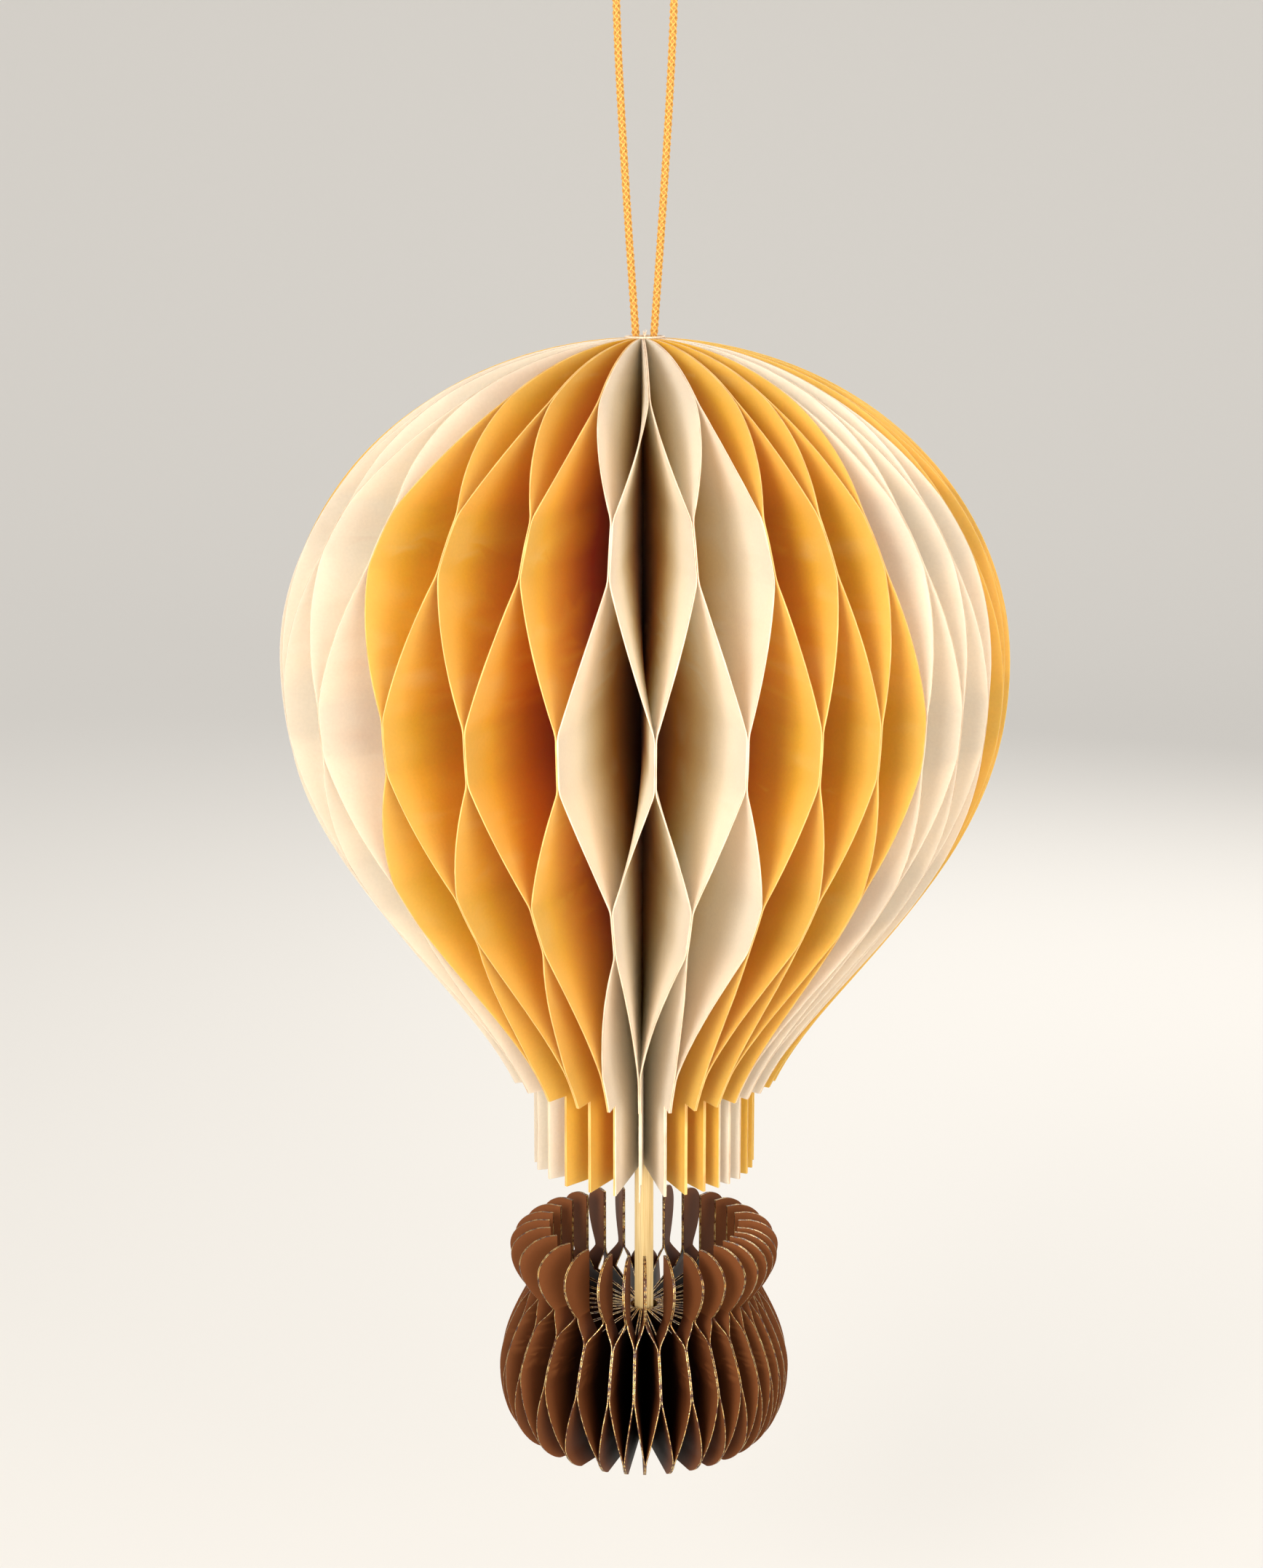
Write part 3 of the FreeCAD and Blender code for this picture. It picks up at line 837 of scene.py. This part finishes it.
@dataclass
class HangingCord:
    """The gold braided cord: two strands down into the spine and a loop that a hook carries.

    The route is in millimetres. The yarns go once round over each lay, and rise and fall over each
    other by the share weave of their radius.
    """

    route: tuple[tuple[float, float, float], ...] = (
        (-0.69, 0.0, -59.86), (-4.92, 0.0, -2.48), (-2.08, 0.0, 0.58),
        (2.08, 0.0, 0.58), (4.92, 0.0, -2.48), (0.69, 0.0, -59.86))
    diameter: float = 1.15 * MM
    length: float = 126.7 * MM
    carriers: int = 4
    lay: float = 3.4 * MM
    yarn: float = 0.15 * MM
    weave: float = 0.35
    samples_a_turn: int = 16
    crease: float = 60.0

    def centreline(self) -> np.ndarray:
        """Points along the cord's smooth line.

        Returns:
            Rows of x, y and z, from one end to the other.
        """
        curve = bpy.data.curves.new("cord_line", "CURVE")
        curve.dimensions = "3D"
        spline = curve.splines.new("NURBS")
        spline.points.add(len(self.route) - 1)
        for point, place in zip(spline.points, self.route):
            point.co = (*(value * MM for value in place), 1.0)
        spline.order_u = 3
        spline.use_endpoint_u = True
        spline.resolution_u = 48
        holder = bpy.data.objects.new("cord_line", curve)
        bpy.context.scene.collection.objects.link(holder)
        line = bpy.data.meshes.new_from_object(holder)
        points = points_of(line)
        bpy.data.objects.remove(holder)
        bpy.data.curves.remove(curve)
        bpy.data.meshes.remove(line)
        return points

    def build(self) -> tuple[bpy.types.Object, np.ndarray]:
        """Braids the cord: yarns wound both ways over and under each other, round a core.

        Returns:
            The cord and the line that it follows.
        """
        line = self.centreline()
        steps = np.linalg.norm(np.diff(line, axis=0), axis=1)
        along = np.concatenate([[0.0], np.cumsum(steps)])
        count = int(along[-1] / self.lay * self.samples_a_turn)
        at = np.linspace(0.0, along[-1], count)
        middle = np.column_stack([np.interp(at, along, line[:, axis]) for axis in range(3)])
        ahead = np.gradient(middle, axis=0)
        ahead /= np.linalg.norm(ahead, axis=1)[:, None]
        out = np.tile([0.0, 1.0, 0.0], (count, 1))
        side = np.cross(ahead, out)
        yarns = self.round_curve("hanging_cord_braid", self.yarn, 1)
        radius = self.diameter / 2 - self.yarn
        for way in (1, -1):
            for carrier in range(self.carriers):
                turn = way * (2 * math.pi * at / self.lay) + 2 * math.pi * carrier / self.carriers
                rise = self.weave * self.yarn * way * np.cos(self.carriers * 2 * math.pi * at / self.lay)
                reach = (radius - self.weave * self.yarn + rise)[:, None]
                around = np.cos(turn)[:, None] * out + np.sin(turn)[:, None] * side
                self.add_yarn(yarns, middle + reach * around)
        braid = self.to_mesh(yarns)
        core = self.round_curve("hanging_cord_core", radius, 3)
        self.add_yarn(core, middle)
        inner = self.to_mesh(core)
        Bench.only(braid)
        inner.select_set(True)
        bpy.ops.object.join()
        braid.name = "hanging_cord_braid"
        self.mark(braid.data, middle)
        Bench.smooth(braid, self.crease)
        return braid, line

    def mark(self, mesh: bpy.types.Mesh, middle: np.ndarray) -> None:
        """Writes how far each point is raised off the cord's middle, as a share of its radius.

        Args:
            mesh: the cord.
            middle: points along its middle.
        """
        line = KDTree(len(middle))
        for index, point in enumerate(middle):
            line.insert(point, index)
        line.balance()
        raised = [line.find(point)[2] / (self.diameter / 2) for point in points_of(mesh)]
        write_values(mesh, "raised", np.array(raised))

    @staticmethod
    def round_curve(name: str, radius: float, resolution: int) -> bpy.types.Curve:
        """Starts a curve with a round section.

        Args:
            name: its name.
            radius: the section's radius.
            resolution: how finely the section is drawn.

        Returns:
            The curve, with nothing in it.
        """
        curve = bpy.data.curves.new(name, "CURVE")
        curve.dimensions = "3D"
        curve.bevel_depth = radius
        curve.bevel_resolution = resolution
        curve.use_fill_caps = True
        return curve

    @staticmethod
    def add_yarn(curve: bpy.types.Curve, points: np.ndarray) -> None:
        """Adds one yarn to a curve.

        Args:
            curve: the curve.
            points: rows of x, y and z along the yarn.
        """
        spline = curve.splines.new("POLY")
        spline.points.add(len(points) - 1)
        spline.points.foreach_set("co", np.column_stack([points, np.ones(len(points))]).ravel())

    @staticmethod
    def to_mesh(curve: bpy.types.Curve) -> bpy.types.Object:
        """Turns a curve with a section into a mesh.

        Args:
            curve: the curve, with all its yarns.

        Returns:
            A mesh object of the curve's name.
        """
        holder = bpy.data.objects.new(curve.name, curve)
        bpy.context.scene.collection.objects.link(holder)
        Bench.only(holder)
        bpy.ops.object.convert(target="MESH")
        return bpy.context.active_object

    def dress(self, piece: bpy.types.Object, line: np.ndarray) -> None:
        """Gives the cord its yarn.

        Args:
            piece: the braided cord.
            line: the line that it follows; not used.
        """
        piece.data.materials.append(GOLD_YARN.material())
        Bench.hand_over(piece, "gold_cord", "hanging_cord")


@dataclass
class SpineBinding:
    """White thread bound round the top of the spine, with a short frayed tuft.

    Each hair of the tuft is half as long as tuft or more, and hair holds the radii of its ends.
    """

    ring: float = 2.605 * MM
    wire: float = 0.3 * MM
    ends: int = 9
    tuft: float = 1.1 * MM
    hair: tuple[float, float] = (0.06 * MM, 0.02 * MM)
    crease: float = 60.0

    def build(self) -> bpy.types.Object:
        """Models the thread ring from a torus and its tuft from thin tapered hairs.

        Returns:
            The binding with its tuft.
        """
        low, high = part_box("spine_binding")
        bpy.ops.object.select_all(action="DESELECT")
        bpy.ops.mesh.primitive_torus_add(
            location=(0, 0, (low.z + high.z) / 2), major_radius=self.ring,
            minor_radius=self.wire / 2, major_segments=64, minor_segments=12)
        ring = bpy.context.active_object
        ring.name = "spine_binding_thread"
        Bench.settle(ring)
        draw = np.random.default_rng(11)
        for _ in range(self.ends):
            self.add_hair(ring, Vector((0.0, -self.ring, high.z)), draw)
        write_values(ring.data, "raised", np.ones(len(ring.data.vertices)))
        Bench.smooth(ring, self.crease)
        return ring

    def add_hair(self, ring: bpy.types.Object, foot: Vector, draw: np.random.Generator) -> None:
        """Adds one hair of the tuft and joins it to the ring.

        Args:
            ring: the thread ring.
            foot: where the tuft starts.
            draw: the source of its length and lean.
        """
        length = self.tuft * draw.uniform(0.5, 1.0)
        lean = Vector((draw.uniform(-0.8, 0.8), draw.uniform(-0.6, 0.2), 1.0)).normalized()
        bpy.ops.object.select_all(action="DESELECT")
        bpy.ops.mesh.primitive_cone_add(
            vertices=5, radius1=self.hair[0], radius2=self.hair[1], depth=length,
            location=foot + lean * length / 2, rotation=lean.to_track_quat("Z", "Y").to_euler())
        hair = bpy.context.active_object
        Bench.settle(hair)
        Bench.only(ring)
        hair.select_set(True)
        bpy.ops.object.join()

    def dress(self, piece: bpy.types.Object) -> None:
        """Gives the binding its thread.

        Args:
            piece: the binding with its tuft.
        """
        piece.data.materials.append(WHITE_THREAD.material())
        Bench.hand_over(piece, "white_thread", "spine_binding")


@dataclass(frozen=True)
class Lamp:
    """A square soft lamp: its place, its side in metres, its power in watts and its colour."""

    name: str
    place: tuple[float, float, float]
    size: float
    power: float
    colour: Colour

    def build(self, target: tuple[float, float, float]) -> None:
        """Adds the lamp.

        Args:
            target: the place that it faces.
        """
        bpy.ops.object.light_add(type="AREA", location=self.place)
        lamp = bpy.context.active_object
        lamp.name = self.name
        lamp.data.size = self.size
        lamp.data.energy = self.power
        lamp.data.color = self.colour
        towards = Vector(target) - Vector(self.place)
        lamp.rotation_euler = towards.to_track_quat("-Z", "Y").to_euler()


LAMPS = (
    Lamp("key_lamp", (-0.30, -0.56, 0.06), 0.30, 4.0, (1.0, 0.95, 0.88)),
    Lamp("fill_lamp", (0.26, -0.58, -0.06), 0.35, 2.8, (1.0, 0.94, 0.86)),
    Lamp("back_lamp", (0.25, 0.55, 0.20), 0.4, 2.2, (1.0, 0.97, 0.93)),
)


@dataclass
class Studio:
    """A pale cove, soft lamps and a camera at the photograph's angle.

    The floor is a sheet of width by run with its middle below the ornament. It starts to rise at the
    distance bend_start behind the ornament, in an arc of the radius bend.
    """

    floor_height: float = -0.27
    width: float = 5.0
    run: float = 3.6
    bend_start: float = 0.9
    bend: float = 0.5
    crease: float = 60.0
    glow: float = 0.30
    even_light: float = 0.58
    camera_place: tuple[float, float, float] = (-0.0018, -0.3868, POLE + 19.8 * MM)
    pitch: float = 11.87
    lens: float = 65.2
    target: tuple[float, float, float] = (0.0, 0.0, -0.12)

    def build_cove(self) -> None:
        """Models the floor from a grid, whose far part rises in a round cove to the backdrop."""
        bpy.ops.object.select_all(action="DESELECT")
        bpy.ops.mesh.primitive_grid_add(x_subdivisions=2, y_subdivisions=64, size=1.0)
        cove = bpy.context.active_object
        cove.name = "studio_cove"
        for vertex in cove.data.vertices:
            along = (vertex.co.y + 0.5) * self.run - self.run / 2
            past = max(0.0, along - self.bend_start)
            turn = min(past / self.bend, math.pi / 2)
            rise = self.bend * (1 - math.cos(turn)) + max(0.0, past - self.bend * math.pi / 2)
            forward = min(along, self.bend_start) + self.bend * math.sin(turn)
            vertex.co = (vertex.co.x * self.width, forward, self.floor_height + rise)
        Bench.smooth(cove, self.crease)
        recipe = Recipe("studio_cove")
        recipe.set(Base_Color=(*paint(200, 198, 194), 1.0), Roughness=0.9,
                   Emission_Color=(*paint(240, 238, 234), 1.0))
        seen = recipe.node("ShaderNodeLightPath").outputs["Is Camera Ray"]
        glow = recipe.span(seen, 0.0, 1.0, 0.0, self.glow)
        recipe.wire(glow, recipe.shader.inputs["Emission Strength"])
        cove.data.materials.append(recipe.material)

    def build_light(self) -> None:
        """Sets the lamps and the world's even light."""
        for lamp in LAMPS:
            lamp.build(self.target)
        world = bpy.data.worlds.new("studio_world")
        bpy.context.scene.world = world
        world.use_nodes = True
        sky = world.node_tree.nodes["Background"]
        sky.inputs["Color"].default_value = (1.0, 0.96, 0.91, 1.0)
        sky.inputs["Strength"].default_value = self.even_light

    def build_camera(self) -> None:
        """Places the camera as the photograph was taken."""
        bpy.ops.object.camera_add(location=self.camera_place,
                                  rotation=(math.radians(90.0 - self.pitch), 0.0, 0.0))
        camera = bpy.context.active_object
        camera.data.sensor_fit = "VERTICAL"
        camera.data.sensor_height = 36.0
        camera.data.lens = self.lens
        camera.data.clip_start = 0.01
        bpy.context.scene.camera = camera
        bpy.context.scene.view_settings.view_transform = "Standard"


def main() -> None:
    """Builds and dresses the ornament's pieces in order and reports each."""
    logging.basicConfig(level=logging.INFO, format="%(name)s: %(message)s")
    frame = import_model()

    studio = Studio()
    studio.build_cove()
    studio.build_light()
    studio.build_camera()

    cord = HangingCord()
    braid, line = cord.build()
    cord.dress(braid, line)
    LOG.info("cord: %d faces", len(braid.data.polygons))

    fans = Fans()
    groups = fans.build(frame)
    fans.dress(groups)
    for group, piece in groups:
        LOG.info("%s: %d faces", piece.name, len(piece.data.polygons))

    stick = Stick()
    wood = stick.build()
    stick.dress(wood)
    LOG.info("stick: %d faces", len(wood.data.polygons))

    binding = SpineBinding()
    thread = binding.build()
    binding.dress(thread)
    LOG.info("binding: %d faces", len(thread.data.polygons))


if __name__ == "__main__":
    main()
